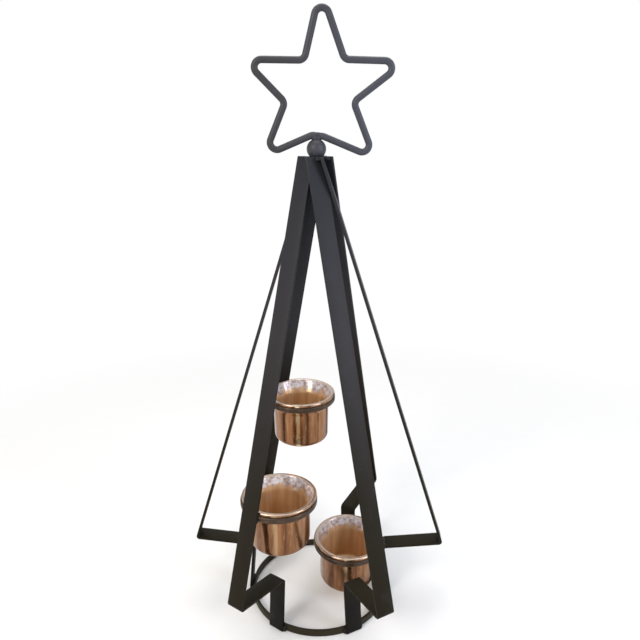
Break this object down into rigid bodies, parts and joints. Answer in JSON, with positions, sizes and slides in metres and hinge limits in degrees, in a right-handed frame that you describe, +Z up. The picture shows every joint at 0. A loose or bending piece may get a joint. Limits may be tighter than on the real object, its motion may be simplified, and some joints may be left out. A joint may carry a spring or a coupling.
{
  "type": "candelabra",
  "caption": "Fir-tree shaped metal candelabra of flat straps with a wire star on top and glass votive cups resting in rings on its legs.",
  "frame": {"origin": "middle of the tree's footprint, on the table top", "axes": "+Z up along the tree's axis, -Y towards the front, +X to the right seen from the front"},
  "size_m": [0.239, 0.2177, 0.533],
  "materials": {
    "black_metal": "satin black powder coat",
    "star_metal": "satin charcoal powder coat",
    "bronze_ring": "satin dark bronze",
    "copper_glass": "glass with a copper lustre coat"
  },
  "bodies": {
    "stand": {"leg_front_left": "black_metal", "leg_front_right": "black_metal", "leg_right": "black_metal", "leg_back_right": "black_metal", "leg_back_left": "black_metal", "leg_left": "black_metal", "base_ring": "black_metal", "foot_welds": "black_metal", "top_plate": "black_metal", "ball": "star_metal", "star": "star_metal", "star_weld": "star_metal", "cup_ring_upper": "bronze_ring", "cup_ring_middle": "bronze_ring", "cup_ring_lower": "bronze_ring", "ring_weld_upper": "black_metal", "ring_weld_middle": "black_metal", "ring_weld_lower": "black_metal"},
    "cup_upper": {"glass_cup_upper": "copper_glass"},
    "cup_middle": {"glass_cup_middle": "copper_glass"},
    "cup_lower": {"glass_cup_lower": "copper_glass"}
  },
  "joints": [
    {"name": "lift_cup_upper", "type": "slide", "parent": "stand", "child": "cup_upper", "axis": [0.1483, -0.2621, 0.9536], "range_m": [0, 0.0105]},
    {"name": "lift_cup_middle", "type": "slide", "parent": "stand", "child": "cup_middle", "axis": [0.1812, 0.2405, 0.9536], "range_m": [0, 0.0105]},
    {"name": "lift_cup_lower", "type": "slide", "parent": "stand", "child": "cup_lower", "axis": [0.0261, -0.0558, 0.9981], "range_m": [0, 0.055]}
  ]
}
